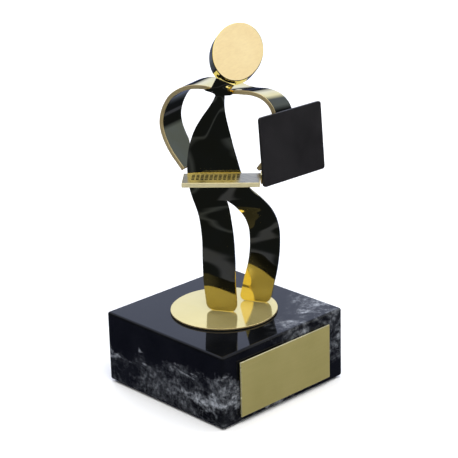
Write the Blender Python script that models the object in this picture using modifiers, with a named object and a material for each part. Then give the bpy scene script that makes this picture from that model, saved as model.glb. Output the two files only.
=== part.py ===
"""Figure trophy: a bent-strip brass figure with a laptop, on a polished marble plinth.

Frame: origin at the middle of the felt's underside, +Z up, -Y towards the nameplate side,
+X along the nameplate.  Metres.  The figure itself is laid out in two upright sheet planes,
each with its own sideways axis: the body sheet (torso and legs) and the arm hoop.
"""
import math

import bmesh
import bpy
import numpy as np
from mathutils import Matrix, Vector

MM = 0.001
CLEARANCE = 0.3 * MM              # gap left between pieces that touch

# Plinth, pad, disc and nameplate
PLINTH_SIDE = 90.0 * MM
PLINTH_HEIGHT = 40.0 * MM
PLINTH_BEVEL = 1.4 * MM
PAD_THICKNESS = 1.2 * MM
PAD_INSET = 2.6 * MM
DISC_RADIUS = 29.0 * MM
DISC_THICKNESS = 1.0 * MM
PLATE_WIDTH = 67.0 * MM
PLATE_HEIGHT = 31.0 * MM
PLATE_THICKNESS = 0.8 * MM
FILM_THICKNESS = 0.2 * MM
FILM_INSET = 2.5 * MM

# Fixing under the disc
STUD_RADIUS = 2.5 * MM
STUD_HOLE_RADIUS = 3.0 * MM
COUNTERBORE_RADIUS = 8.0 * MM
COUNTERBORE_DEPTH = 12.0 * MM
WASHER_RADIUS = 7.5 * MM
WASHER_THICKNESS = 1.2 * MM
NUT_ACROSS_FLATS = 8.0 * MM
NUT_HEIGHT = 4.0 * MM
STUD_TAIL = 2.0 * MM              # stud showing below the nut

# Figure
SHEET_THICKNESS = 2.0 * MM
FIGURE_FOOT = Vector((7.3, -4.5, 0.0)) * MM      # plan point between the two feet
BODY_ANGLE = -50.0                # sideways direction of torso and thighs, degrees in plan
FOOT_ANGLE = -62.0                # the strips twist to this at the feet
SHOULDER_ANGLE = -70.0            # and to this at the shoulders
FOOT_CORNER = 3.6                 # corner rounding of the feet, millimetres
CROTCH_HEIGHT = 61.0              # heights over the disc, millimetres
CROTCH_SIDE = -5.0
NECK_HEIGHT = 116.3
NECK_SIDE = -8.1                  # sideways place of the neck, millimetres
HOOP_WIDTH = 21.5 * MM
HOOP_THICKNESS = 2.2 * MM
HOOP_BACK_DROP = 1.0 * MM         # the strip's back edge sits this much lower,
HOOP_SIDE_DROP = 3.0 * MM         # and this much more over the left shoulder

# Head
HEAD_CENTRE = Vector((16.5, 1.6, 138.6)) * MM    # middle of its face, height over the disc
HEAD_HALF_LENGTH = 16.4 * MM
HEAD_HALF_WIDTH = 13.3 * MM
HEAD_THICKNESS = 8.0 * MM
HEAD_FACING = -118.0              # plan direction its face looks along, degrees
HEAD_TILT_UP = 31.0
HEAD_LEAN = 30.0                  # long axis leans this far to the side
SLOT_DEPTH = 5.5 * MM
SLOT_PLAY = 0.5 * MM
NECK_HALF_WIDTH = 4.9 * MM

# Laptop
LAPTOP_CENTRE = Vector((-6.2, -7.2, 77.0)) * MM  # middle of the keyboard's top face
LAPTOP_ANGLE = -47.0
KEYBOARD_LENGTH = 40.6 * MM
KEYBOARD_DEPTH = 16.2 * MM
KEYBOARD_THICKNESS = 2.5 * MM
KEY_ROWS = 4
KEY_COLUMNS = 11
KEY_PITCH_X = 2.35 * MM
KEY_PITCH_Y = 2.3 * MM
KEY_SIZE = 1.6 * MM
KEY_DEPTH = 0.5 * MM
KEYS_OFFSET = -3.0 * MM
LID_WIDTH = 43.6 * MM
LID_HEIGHT = 37.0 * MM
LID_THICKNESS = 1.5 * MM
LID_CORNER = Vector((5.0, -26.9, 73.4)) * MM     # its lower corner beside the keyboard
LID_ANGLE = -3.0
LID_LEAN = -4.0                   # its top edge tips away from the front
LID_ROLL = -0.5
SCREEN_MARGIN = 2.6 * MM
SCREEN_DEPTH = 0.4 * MM
BRACKET_THICKNESS = 1.0 * MM
BRACKET_HEIGHT = 5.0 * MM
BRACKET_LEAN_ROOM = 0.55 * MM     # extra gap that clears the leaning lid

DISC_TOP = PAD_THICKNESS + PLINTH_HEIGHT + DISC_THICKNESS + CLEARANCE

for old in list(bpy.data.objects):
    bpy.data.objects.remove(old, do_unlink=True)

parts = bpy.data.collections.new("figure_trophy")
cutters = bpy.data.collections.new("cutters")
bpy.context.scene.collection.children.link(parts)
bpy.context.scene.collection.children.link(cutters)


# ---------------------------------------------------------------- helpers
def make_material(name, color, roughness, metallic):
    material = bpy.data.materials.new(name)
    material.use_nodes = True
    shader = material.node_tree.nodes["Principled BSDF"]
    shader.inputs["Base Color"].default_value = (*color, 1.0)
    shader.inputs["Roughness"].default_value = roughness
    shader.inputs["Metallic"].default_value = metallic
    return material


def add_object(name, mesh, material=None, collection=parts, smooth_angle=35.0):
    obj = bpy.data.objects.new(name, mesh)
    collection.objects.link(obj)
    mesh.shade_smooth()
    mesh.set_sharp_from_angle(angle=math.radians(smooth_angle))
    if material:
        mesh.materials.append(material)
    if collection is cutters:
        obj.hide_render = True
        obj.display_type = "WIRE"
    return obj


def mesh_from_bmesh(name, shape):
    mesh = bpy.data.meshes.new(name)
    shape.to_mesh(mesh)
    shape.free()
    return mesh


def box_mesh(name, size):
    shape = bmesh.new()
    bmesh.ops.create_cube(shape, size=1.0)
    bmesh.ops.scale(shape, vec=Vector(size), verts=shape.verts)
    return mesh_from_bmesh(name, shape)


def cylinder_mesh(name, radius, height, sides=48):
    shape = bmesh.new()
    bmesh.ops.create_cone(shape, cap_ends=True, segments=sides, radius1=radius,
                          radius2=radius, depth=height)
    return mesh_from_bmesh(name, shape)


def add_bevel(obj, width, segments=2, angle=40.0):
    bevel = obj.modifiers.new("edges", "BEVEL")
    bevel.width = width
    bevel.segments = segments
    bevel.limit_method = "ANGLE"
    bevel.angle_limit = math.radians(angle)
    return bevel


def cut(obj, cutter):
    boolean = obj.modifiers.new("cut_" + cutter.name, "BOOLEAN")
    boolean.operation = "DIFFERENCE"
    boolean.solver = "EXACT"
    boolean.object = cutter


def smooth_curve(knots):
    """A smooth function through (place, value) knots, in millimetres."""
    places = np.array([knot[0] for knot in knots], float)
    values = np.array([knot[1:] for knot in knots], float)
    slopes = np.gradient(values, places, axis=0)

    def value(place):
        place = min(max(place, places[0]), places[-1])
        i = min(int(np.searchsorted(places, place, side="right")) - 1, len(places) - 2)
        span = places[i + 1] - places[i]
        t = (place - places[i]) / span
        start = (1 + 2 * t) * (1 - t) ** 2 * values[i] + t * (1 - t) ** 2 * span * slopes[i]
        end = t * t * (3 - 2 * t) * values[i + 1] + t * t * (t - 1) * span * slopes[i + 1]
        result = start + end
        return result if len(result) > 1 else float(result[0])

    return value


def ease(t):
    t = min(max(t, 0.0), 1.0)
    return t * t * (3 - 2 * t)


def sideways(angle):
    return Vector((math.cos(math.radians(angle)), math.sin(math.radians(angle)), 0.0))


def forwards(angle):
    """The way a sheet faces when its sideways direction has this plan angle."""
    return Vector((math.sin(math.radians(angle)), -math.cos(math.radians(angle)), 0.0))


def strip_object(name, rows, faces, thickness, offset, material, bevel=0.25 * MM):
    """A sheet piece: rows of points joined by faces, thickened and with its edges eased."""
    mesh = bpy.data.meshes.new(name)
    mesh.from_pydata([tuple(p) for row in rows for p in row], [], faces)
    obj = add_object(name, mesh, material)
    solid = obj.modifiers.new("thickness", "SOLIDIFY")
    solid.thickness = thickness
    solid.offset = offset
    solid.use_even_offset = True
    add_bevel(obj, bevel, segments=2, angle=50.0)
    return obj


def grid_faces(counts):
    """Quads between following rows of equal length; counts holds each row's first index."""
    faces = []
    for (first, length), (second, _) in zip(counts, counts[1:]):
        for i in range(length - 1):
            faces.append((first + i, first + i + 1, second + i + 1, second + i))
    return faces


# ---------------------------------------------------------------- plinth group
def build_plinth(material):
    size = (PLINTH_SIDE, PLINTH_SIDE, PLINTH_HEIGHT)
    plinth = add_object("marble_plinth", box_mesh("marble_plinth", size), material)
    plinth.location.z = PAD_THICKNESS + PLINTH_HEIGHT / 2
    add_bevel(plinth, PLINTH_BEVEL)
    hole = add_object("stud_hole", cylinder_mesh("stud_hole", STUD_HOLE_RADIUS, 0.06, 32),
                      collection=cutters)
    hole.location.z = PAD_THICKNESS + PLINTH_HEIGHT / 2
    bore = add_object("counterbore", cylinder_mesh("counterbore", COUNTERBORE_RADIUS, 0.03),
                      collection=cutters)
    bore.location.z = PAD_THICKNESS + COUNTERBORE_DEPTH - 0.015
    cut(plinth, hole)
    cut(plinth, bore)


def build_pad(material):
    side = PLINTH_SIDE - 2 * PAD_INSET
    thickness = PAD_THICKNESS - CLEARANCE
    pad = add_object("base_felt", box_mesh("base_felt", (side, side, thickness)), material)
    pad.location.z = thickness / 2


def build_disc(material):
    disc = add_object("brass_disc", cylinder_mesh("brass_disc", DISC_RADIUS, DISC_THICKNESS, 96),
                      material)
    disc.location.z = DISC_TOP - DISC_THICKNESS / 2
    add_bevel(disc, 0.2 * MM)
    socket = add_object("stud_socket", cylinder_mesh("stud_socket", STUD_RADIUS + CLEARANCE,
                                                     DISC_THICKNESS, 32), collection=cutters)
    socket.location.z = DISC_TOP - DISC_THICKNESS - 0.4 * MM
    cut(disc, socket)


def build_fixing(steel):
    ceiling = PAD_THICKNESS + COUNTERBORE_DEPTH
    washer_top = ceiling - CLEARANCE
    nut_top = washer_top - WASHER_THICKNESS - CLEARANCE
    stud_bottom = nut_top - NUT_HEIGHT - STUD_TAIL
    stud_top = DISC_TOP - DISC_THICKNESS - CLEARANCE / 2
    stud = add_object("fixing_stud", cylinder_mesh("fixing_stud", STUD_RADIUS,
                                                   stud_top - stud_bottom, 32), steel)
    stud.location.z = (stud_top + stud_bottom) / 2
    add_bevel(stud, 0.3 * MM, segments=1)

    bore = add_object("fastener_bore", cylinder_mesh("fastener_bore", STUD_RADIUS + CLEARANCE,
                                                     0.05, 32), collection=cutters)
    washer = add_object("fixing_washer", cylinder_mesh("fixing_washer", WASHER_RADIUS,
                                                       WASHER_THICKNESS), steel)
    washer.location.z = washer_top - WASHER_THICKNESS / 2
    cut(washer, bore)
    radius = NUT_ACROSS_FLATS / math.sqrt(3)
    nut = add_object("fixing_nut", cylinder_mesh("fixing_nut", radius, NUT_HEIGHT, 6), steel)
    nut.location.z = nut_top - NUT_HEIGHT / 2
    add_bevel(nut, 0.3 * MM, segments=1)
    cut(nut, bore)


def build_nameplate(brass, adhesive):
    height = PAD_THICKNESS + PLINTH_HEIGHT / 2 - 1.3 * MM
    face = -PLINTH_SIDE / 2
    film_size = (PLATE_WIDTH - 2 * FILM_INSET, FILM_THICKNESS, PLATE_HEIGHT - 2 * FILM_INSET)
    film = add_object("plate_adhesive", box_mesh("plate_adhesive", film_size), adhesive)
    film.location = (0, face - CLEARANCE - FILM_THICKNESS / 2, height)
    size = (PLATE_WIDTH, PLATE_THICKNESS, PLATE_HEIGHT)
    plate = add_object("nameplate", box_mesh("nameplate", size), brass)
    back = face - 2 * CLEARANCE - FILM_THICKNESS
    plate.location = (0, back - PLATE_THICKNESS / 2, height)
    add_bevel(plate, 0.2 * MM)


# ---------------------------------------------------------------- body sheet
# Outlines as (height over the disc, sideways place), millimetres.
OUTER_RIGHT = smooth_curve([(0, -17.0), (8, -17.6), (16, -18.1), (30, -18.2), (43, -18.3),
                            (55, -20.2), (61, -22.2), (68, -24.4), (77, -25.6), (85, -25.2),
                            (92, -23.7), (98, -21.4), (104, -17.8), (110, -13.6), (114, -11.2),
                            (116.3, -10.4)])
OUTER_LEFT = smooth_curve([(0, 16.5), (9, 18.3), (20, 20.6), (34, 22.1), (43, 21.8),
                           (53, 18.7), (61, 13.2), (68, 6.6), (77, 2.6), (83, 0.9),
                           (92, -1.7), (103, -4.2), (112, -5.5), (116.3, -5.8)])
INNER_RIGHT = smooth_curve([(0, -0.4), (6, -0.4), (14, -0.8), (32, -0.8), (44, -1.5),
                            (55, -3.5), (61, -5.0)])
INNER_LEFT = smooth_curve([(0, -1.0), (6, 0.4), (14, 2.3), (25, 5.0), (36, 5.9), (45, 5.2),
                           (54, 1.6), (58.5, -1.9), (61, -5.0)])
CREASE = smooth_curve([(61, -5.0), (68, -10.5), (77, -14.5), (85, -15.6), (95, -15.0),
                       (104, -11.0), (112, -8.2), (116.3, -8.1)])
# How far forward each stretch stands, by height
TORSO_FORWARD = smooth_curve([(61, 2.4), (68, 2.4), (75, 2.1), (88, -0.2), (102, -3.0),
                              (116.3, -5.0)])
RIGHT_LEG_FORWARD = smooth_curve([(0, 7.0), (10, 7.5), (20, 8.2), (30, 8.6), (40, 8.2),
                                  (45, 7.4), (51, 5.4), (56, 3.4), (59.5, 2.5), (61, 2.4)])
LEFT_LEG_FORWARD = smooth_curve([(0, -7.0), (10, -6.6), (20, -6.1), (28, -5.9), (38, -5.5),
                                 (43, -4.6), (48, -2.8), (53, -0.4), (57.5, 1.7), (60, 2.3),
                                 (61, 2.4)])
# The hips turn: each millimetre sideways of the crotch stands this much further back
HIP_TURN = smooth_curve([(0, 0.0), (40, 0.0), (61, 0.2), (76, 0.0), (116.3, 0.0)])
CREASE_PROUD = smooth_curve([(61, 0.0), (74, 0.6), (95, 2.4), (108, 1.6), (116.3, 0.0)])
# Shoulders: (height over the neck's narrowest row, half width right, half width left)
SHOULDER_FLARE = ((0.5, 2.6, 3.6), (1.0, 3.4, 6.6), (1.5, 5.0, 7.2), (1.9, 7.4, 7.4),
                  (3.0, 7.4, 7.4), (3.3, 6.0, 6.0), (3.7, 5.1, 5.1))


def sheet_angle(height):
    down = ease((32.0 - height) / 32.0)
    up = ease((height - 94.0) / 18.0)
    return BODY_ANGLE + (FOOT_ANGLE - BODY_ANGLE) * down + (SHOULDER_ANGLE - BODY_ANGLE) * up


def sheet_point(side, forward, height, centre):
    """Millimetres along the body's own axes to a world point."""
    along = sideways(BODY_ANGLE) * centre + sideways(sheet_angle(height)) * (side - centre)
    forward -= HIP_TURN(height) * (side - CROTCH_SIDE)
    point = FIGURE_FOOT + (along + forwards(BODY_ANGLE) * forward) * MM
    point.z = DISC_TOP + CLEARANCE + height * MM
    return point


def leg_row(outer, inner, forward, height, steps):
    low, high = sorted((outer(height), inner(height)))
    if height < FOOT_CORNER:
        trim = FOOT_CORNER - math.sqrt(FOOT_CORNER ** 2 - (FOOT_CORNER - height) ** 2)
        low, high = low + trim, high - trim * 0.8
    centre = (low + high) / 2
    return [sheet_point(low + (high - low) * i / steps, forward(height), height, centre)
            for i in range(steps + 1)]


def torso_row(height, steps):
    low, mid, high = OUTER_RIGHT(height), CREASE(height), OUTER_LEFT(height)
    centre = (low + high) / 2
    row = []
    for i in range(2 * steps + 1):
        t = i / steps
        side = low + (mid - low) * t if t <= 1 else mid + (high - mid) * (t - 1)
        proud = CREASE_PROUD(height) * (1 - abs(t - 1))
        row.append(sheet_point(side, TORSO_FORWARD(height) + proud, height, centre))
    return row


def head_axes():
    """The head's own axes: across the oval, along the oval, and out of its face."""
    tilt, lean = math.radians(HEAD_TILT_UP), math.radians(HEAD_LEAN)
    normal = sideways(HEAD_FACING) * math.cos(tilt) + Vector((0, 0, math.sin(tilt)))
    level = Vector((0, 0, 1)).cross(normal).normalized()
    rising = normal.cross(level)
    across = level * math.cos(lean) - rising * math.sin(lean)
    along = rising * math.cos(lean) + level * math.sin(lean)
    return across, along, normal


def head_centre():
    return HEAD_CENTRE + Vector((0, 0, DISC_TOP))


def neck_base():
    return sheet_point(NECK_SIDE, TORSO_FORWARD(NECK_HEIGHT), NECK_HEIGHT, NECK_SIDE)


def shoulder_and_neck_rows(steps):
    """Above the narrow of the neck: out over the arm hoop, then in again and up to the head."""
    base = neck_base()
    across = sideways(SHOULDER_ANGLE)
    rows = []
    for rise, right, left in SHOULDER_FLARE:
        middle = base + Vector((0, 0, rise * MM))
        rows.append([middle + across * MM * (-right + (right + left) * i / (2 * steps))
                     for i in range(2 * steps + 1)])
    head_side, head_up, normal = head_axes()
    entry = head_centre() - normal * HEAD_THICKNESS / 2 - head_up * HEAD_HALF_LENGTH
    start = base + Vector((0, 0, SHOULDER_FLARE[-1][0] * MM))
    for t in (0.25, 0.5, 0.75, 1.0):
        middle = start.lerp(entry, t)
        side = across.lerp(head_side, ease(t)).normalized()
        rows.append([middle + side * NECK_HALF_WIDTH * (i / steps - 1)
                     for i in range(2 * steps + 1)])
    tip = entry + head_up * (SLOT_DEPTH - 2 * CLEARANCE)
    rows.append([tip + head_side * NECK_HALF_WIDTH * (i / steps - 1)
                 for i in range(2 * steps + 1)])
    return rows


def build_body(material):
    steps = 4
    leg_heights = [0, 0.35, 1.0, 1.9, 2.8]
    leg_heights += list(np.linspace(FOOT_CORNER, CROTCH_HEIGHT, 27)[:-1])
    torso_heights = list(np.linspace(CROTCH_HEIGHT, NECK_HEIGHT, 23))
    rows, faces = [], []

    def add_rows(new_rows):
        marks = []
        for row in new_rows:
            marks.append((sum(len(r) for r in rows), len(row)))
            rows.append(row)
        return marks

    right = add_rows([leg_row(OUTER_RIGHT, INNER_RIGHT, RIGHT_LEG_FORWARD, h, steps)
                      for h in leg_heights])
    left = add_rows([leg_row(INNER_LEFT, OUTER_LEFT, LEFT_LEG_FORWARD, h, steps)
                     for h in leg_heights])
    trunk = add_rows([torso_row(h, steps) for h in torso_heights] + shoulder_and_neck_rows(steps))
    crotch = trunk[0][0]
    faces += grid_faces(right + [(crotch, steps + 1)])
    faces += grid_faces(left + [(crotch + steps, steps + 1)])
    faces += grid_faces(trunk)
    strip_object("body_sheet", rows, faces, SHEET_THICKNESS, 0.0, material)


# ---------------------------------------------------------------- arm hoop
# The outer front edge, from the right hand over the shoulders to the left hand:
# (sideways place, forward place, height over the disc), millimetres.
HOOP_EDGE = [(-18.0, 13.2, 76.4), (-22.4, 10.8, 79.6), (-27.4, 8.2, 83.4), (-31.9, 5.6, 88.2),
             (-34.9, 3.8, 93.2), (-36.3, 2.4, 98.2), (-36.1, 1.2, 102.8), (-34.4, 0.5, 107.8),
             (-31.4, 0.1, 112.5), (-26.9, 0.0, 116.2), (-19.6, 0.0, 119.3), (-11.7, 0.0, 120.3),
             (-4.0, 0.0, 119.6), (3.0, 0.0, 119.4), (11.6, 0.0, 119.8), (18.6, 0.0, 119.7),
             (24.4, 0.0, 117.9), (28.8, 0.0, 114.0), (31.2, 0.0, 108.4), (31.8, 0.0, 101.4),
             (31.0, 0.3, 94.6), (28.8, 0.8, 88.2), (25.4, 1.4, 82.4), (21.8, 2.0, 77.6)]


def build_hoop(material):
    steps_along, steps_across = 96, 4
    lengths = [0.0]
    for a, b in zip(HOOP_EDGE, HOOP_EDGE[1:]):
        lengths.append(lengths[-1] + math.dist(a, b))
    edge = smooth_curve([(d, *p) for d, p in zip(lengths, HOOP_EDGE)])
    base = neck_base()
    across, ahead = sideways(SHOULDER_ANGLE), forwards(SHOULDER_ANGLE)
    behind_sheet = SHEET_THICKNESS / 2 + 2 * CLEARANCE
    rows = []
    for k in range(steps_along + 1):
        travel = lengths[-1] * k / steps_along
        side, forward, height = edge(travel)
        front = base + across * side * MM + ahead * (forward * MM - behind_sheet)
        front.z = DISC_TOP + CLEARANCE + height * MM
        from_end = min(travel, lengths[-1] - travel)
        width = HOOP_WIDTH * (0.5 + 0.5 * ease(from_end / 16.0))
        drop = HOOP_BACK_DROP + HOOP_SIDE_DROP * ease((side + 3.0) / 14.0)
        back = front - ahead * width - Vector((0, 0, drop * width / HOOP_WIDTH))
        rows.append([front.lerp(back, i / steps_across) for i in range(steps_across + 1)])
    marks = [(k * (steps_across + 1), steps_across + 1) for k in range(len(rows))]
    strip_object("arm_hoop", rows, grid_faces(marks), HOOP_THICKNESS, 1.0, material)


# ---------------------------------------------------------------- head
def build_head(material):
    side, up, normal = head_axes()
    turn = Matrix((side, up, normal)).transposed().to_4x4()
    shape = bmesh.new()
    bmesh.ops.create_cone(shape, cap_ends=True, segments=96, radius1=1.0, radius2=1.0,
                          depth=HEAD_THICKNESS)
    bmesh.ops.scale(shape, vec=(HEAD_HALF_WIDTH, HEAD_HALF_LENGTH, 1.0), verts=shape.verts)
    head = add_object("head_slug", mesh_from_bmesh("head_slug", shape), material)
    middle = head_centre() - normal * HEAD_THICKNESS / 2
    head.matrix_world = Matrix.Translation(middle) @ turn
    add_bevel(head, 0.35 * MM)
    slot_size = (2 * (NECK_HALF_WIDTH + SLOT_PLAY), SLOT_DEPTH + 8 * MM,
                 SHEET_THICKNESS + 2 * SLOT_PLAY)
    slot = add_object("neck_slot", box_mesh("neck_slot", slot_size), collection=cutters)
    lowest = middle - up * (HEAD_HALF_LENGTH + 4 * MM - SLOT_DEPTH / 2)
    slot.matrix_world = Matrix.Translation(lowest) @ turn
    cut(head, slot)


# ---------------------------------------------------------------- laptop
def laptop_axes():
    return sideways(LAPTOP_ANGLE), forwards(LAPTOP_ANGLE)


def build_keyboard(material):
    along, ahead = laptop_axes()
    turn = Matrix((along, -ahead, Vector((0, 0, 1)))).transposed().to_4x4()
    top = LAPTOP_CENTRE + Vector((0, 0, DISC_TOP))
    plate = add_object("keyboard_plate", box_mesh("keyboard_plate", (KEYBOARD_LENGTH,
                       KEYBOARD_DEPTH, KEYBOARD_THICKNESS)), material)
    plate.matrix_world = (Matrix.Translation(top - Vector((0, 0, KEYBOARD_THICKNESS / 2)))
                          @ turn)
    add_bevel(plate, 0.3 * MM)

    pockets = bmesh.new()
    for row in range(KEY_ROWS):
        for column in range(KEY_COLUMNS):
            x = KEYS_OFFSET + (column - (KEY_COLUMNS - 1) / 2) * KEY_PITCH_X
            y = (row - (KEY_ROWS - 1) / 2) * KEY_PITCH_Y + 1.4 * MM
            place = Matrix.Translation((x, y, 0)) @ Matrix.Diagonal(
                (KEY_SIZE, KEY_SIZE, 2 * KEY_DEPTH, 1))
            bmesh.ops.create_cube(pockets, size=1.0, matrix=place)
    engraving = add_object("key_engraving", mesh_from_bmesh("key_engraving", pockets),
                           collection=cutters)
    engraving.matrix_world = Matrix.Translation(top) @ turn
    cut(plate, engraving)


def lid_turn():
    along, ahead = sideways(LID_ANGLE), forwards(LID_ANGLE)
    upright = Matrix((along, -ahead, Vector((0, 0, 1)))).transposed()
    lean = Matrix.Rotation(math.radians(LID_LEAN), 3, "X")
    roll = Matrix.Rotation(math.radians(LID_ROLL), 3, "Y")
    return (upright @ lean @ roll).to_4x4()


def build_lid(material):
    """Local axes: X along the lid, Y through it away from the viewer's side, Z up."""
    turn = lid_turn()
    corner = LID_CORNER + Vector((0, 0, DISC_TOP))
    lid = add_object("laptop_lid", box_mesh("laptop_lid", (LID_WIDTH, LID_THICKNESS, LID_HEIGHT)),
                     material)
    middle = turn.to_3x3() @ Vector((LID_WIDTH / 2, 0, LID_HEIGHT / 2))
    lid.matrix_world = Matrix.Translation(corner + middle) @ turn
    corner_round = lid.modifiers.new("corners", "BEVEL")
    corner_round.width = 1.6 * MM
    corner_round.segments = 4
    corner_round.limit_method = "WEIGHT"
    weights = lid.data.attributes.new("bevel_weight_edge", "FLOAT", "EDGE")
    for edge in lid.data.edges:
        a, b = (lid.data.vertices[v].co for v in edge.vertices)
        weights.data[edge.index].value = 1.0 if abs(a.y - b.y) > LID_THICKNESS / 2 else 0.0
    add_bevel(lid, 0.25 * MM)
    screen_size = (LID_WIDTH - 2 * SCREEN_MARGIN, 2 * SCREEN_DEPTH, LID_HEIGHT - 2 * SCREEN_MARGIN)
    screen = add_object("screen_recess", box_mesh("screen_recess", screen_size),
                        collection=cutters)
    back = turn.to_3x3() @ Vector((0, LID_THICKNESS / 2, 0))
    screen.matrix_world = Matrix.Translation(corner + middle + back) @ turn
    cut(lid, screen)


def build_bracket(material):
    """A bent tab between the keyboard's end and the lid's back."""
    along, ahead = laptop_axes()
    lid_along, lid_ahead = sideways(LID_ANGLE), forwards(LID_ANGLE)
    top = LAPTOP_CENTRE + Vector((0, 0, DISC_TOP))
    half = BRACKET_THICKNESS / 2
    end = top + along * (KEYBOARD_LENGTH / 2 + CLEARANCE + half)
    behind_lid = LID_THICKNESS / 2 + BRACKET_LEAN_ROOM + half
    lid_back = LID_CORNER - lid_ahead * behind_lid
    # Where the two runs of the tab meet, in plan
    gap = (lid_back - end).dot(lid_ahead) / ahead.dot(lid_ahead)
    meet = end + ahead * gap
    tail = meet - ahead * 7.0 * MM
    inset = 1.2 * MM
    reach = meet + lid_along * 9.0 * MM
    plan = [tail, meet - ahead * inset, meet - ahead * inset * 0.3 + lid_along * inset * 0.3,
            meet + lid_along * inset, reach]
    bottom = top.z - KEYBOARD_THICKNESS + 0.2 * MM
    rows = [[Vector((p.x, p.y, bottom)), Vector((p.x, p.y, bottom + BRACKET_HEIGHT))]
            for p in plan]
    marks = [(2 * k, 2) for k in range(len(rows))]
    strip_object("lid_bracket", rows, grid_faces(marks), BRACKET_THICKNESS, 0.0, material,
                 bevel=0.15 * MM)


# ---------------------------------------------------------------- assembly
polished_brass = make_material("polished_brass", (0.85, 0.68, 0.32), 0.08, 1.0)
satin_brass = make_material("satin_brass", (0.88, 0.74, 0.45), 0.35, 1.0)
black_lacquer = make_material("black_lacquer", (0.015, 0.015, 0.018), 0.4, 0.0)
marble = make_material("black_marble", (0.02, 0.02, 0.022), 0.1, 0.0)
felt = make_material("felt", (0.02, 0.02, 0.02), 0.95, 0.0)
steel = make_material("zinc_steel", (0.6, 0.6, 0.6), 0.3, 1.0)
clear_adhesive = make_material("adhesive", (0.8, 0.8, 0.75), 0.6, 0.0)

build_plinth(marble)
build_pad(felt)
build_disc(satin_brass)
build_fixing(steel)
build_nameplate(satin_brass, clear_adhesive)
build_body(polished_brass)
build_hoop(polished_brass)
build_head(satin_brass)
build_keyboard(satin_brass)
build_lid(black_lacquer)
build_bracket(polished_brass)
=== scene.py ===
import math

import bmesh
import bpy
import numpy as np
from mathutils import Matrix, Vector


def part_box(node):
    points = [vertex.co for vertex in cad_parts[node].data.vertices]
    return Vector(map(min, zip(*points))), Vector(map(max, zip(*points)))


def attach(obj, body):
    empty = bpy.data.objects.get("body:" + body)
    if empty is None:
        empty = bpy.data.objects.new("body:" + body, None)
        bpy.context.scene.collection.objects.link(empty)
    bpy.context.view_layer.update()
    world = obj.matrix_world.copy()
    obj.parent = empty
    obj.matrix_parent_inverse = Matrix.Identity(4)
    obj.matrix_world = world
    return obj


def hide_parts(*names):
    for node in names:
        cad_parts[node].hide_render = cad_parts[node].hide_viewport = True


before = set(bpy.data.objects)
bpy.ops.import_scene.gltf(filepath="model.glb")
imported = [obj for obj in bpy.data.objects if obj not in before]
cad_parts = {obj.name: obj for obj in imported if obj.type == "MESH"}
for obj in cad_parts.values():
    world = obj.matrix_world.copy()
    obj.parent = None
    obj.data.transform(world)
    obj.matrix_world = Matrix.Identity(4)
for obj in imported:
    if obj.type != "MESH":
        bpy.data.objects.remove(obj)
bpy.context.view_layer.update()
MM = 0.001


# ---------------------------------------------------------------- material helpers
class Nodes:
    """A thin wrapper that keeps node trees short to write. Input i0 is the first socket."""

    def __init__(self, tree):
        self.tree = tree

    def add(self, kind, settings=None, **inputs):
        node = self.tree.nodes.new(kind)
        for key, value in (settings or {}).items():
            setattr(node, key, value)
        for key, value in inputs.items():
            socket = node.inputs[int(key[1:])] if key[0] == "i" and key[1:].isdigit() \
                else node.inputs[key.replace("_", " ")]
            if isinstance(value, bpy.types.NodeSocket):
                self.tree.links.new(value, socket)
            else:
                socket.default_value = value
        return node

    def math(self, operation, a, b=0.0, c=0.0):
        return self.add("ShaderNodeMath", {"operation": operation}, i0=a, i1=b, i2=c).outputs[0]

    def noise(self, vector, scale, detail=4.0, roughness=0.5, distortion=0.0):
        node = self.add("ShaderNodeTexNoise", Vector=vector, Scale=scale, Detail=detail,
                        Roughness=roughness, Distortion=distortion)
        return node.outputs["Fac"]

    def ramp(self, factor, stops):
        """Colours between (place, colour or grey) stops."""
        node = self.add("ShaderNodeValToRGB", Fac=factor)
        ramp = node.color_ramp
        while len(ramp.elements) < len(stops):
            ramp.elements.new(0.5)
        for element, (place, color) in zip(ramp.elements, stops):
            element.position = place
            element.color = (*color, 1.0) if hasattr(color, "__len__") else (color,) * 3 + (1.0,)
        return node.outputs["Color"]

    def spread(self, value, low_in, high_in, low_out, high_out):
        """The value's place between low_in and high_in, put between low_out and high_out."""
        node = self.add("ShaderNodeMapRange", {"clamp": True}, i0=value, i1=low_in, i2=high_in,
                        i3=low_out, i4=high_out)
        return node.outputs[0]

    def mix(self, factor, a, b):
        node = self.add("ShaderNodeMix", {"data_type": "RGBA"}, i0=factor)
        for socket, value in ((node.inputs[6], a), (node.inputs[7], b)):
            if isinstance(value, bpy.types.NodeSocket):
                self.tree.links.new(value, socket)
            else:
                socket.default_value = (*value, 1.0)
        return node.outputs[2]

    def bump(self, height, distance, strength=1.0, normal=None):
        node = self.add("ShaderNodeBump", Height=height, Distance=distance, Strength=strength)
        if normal:
            self.tree.links.new(normal, node.inputs["Normal"])
        return node.outputs["Normal"]


def new_material(name, metallic, ior=1.5):
    """A material, its node helper, its shader and the object coordinates (the row frame)."""
    material = bpy.data.materials.new(name)
    material.use_nodes = True
    n = Nodes(material.node_tree)
    shader = material.node_tree.nodes["Principled BSDF"]
    shader.inputs["Metallic"].default_value = metallic
    shader.inputs["IOR"].default_value = ior
    place = n.add("ShaderNodeTexCoord").outputs["Object"]
    return material, n, shader, place


def stretched(n, place, rotation, scale):
    """Coordinates turned to a grain's direction and squeezed along it."""
    return n.add("ShaderNodeMapping", Vector=place, Rotation=rotation, Scale=scale).outputs[0]


def wire(n, shader, color=None, roughness=None, normal=None):
    for name, value in (("Base Color", color), ("Roughness", roughness), ("Normal", normal)):
        if value is not None:
            n.tree.links.new(value, shader.inputs[name])


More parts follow.
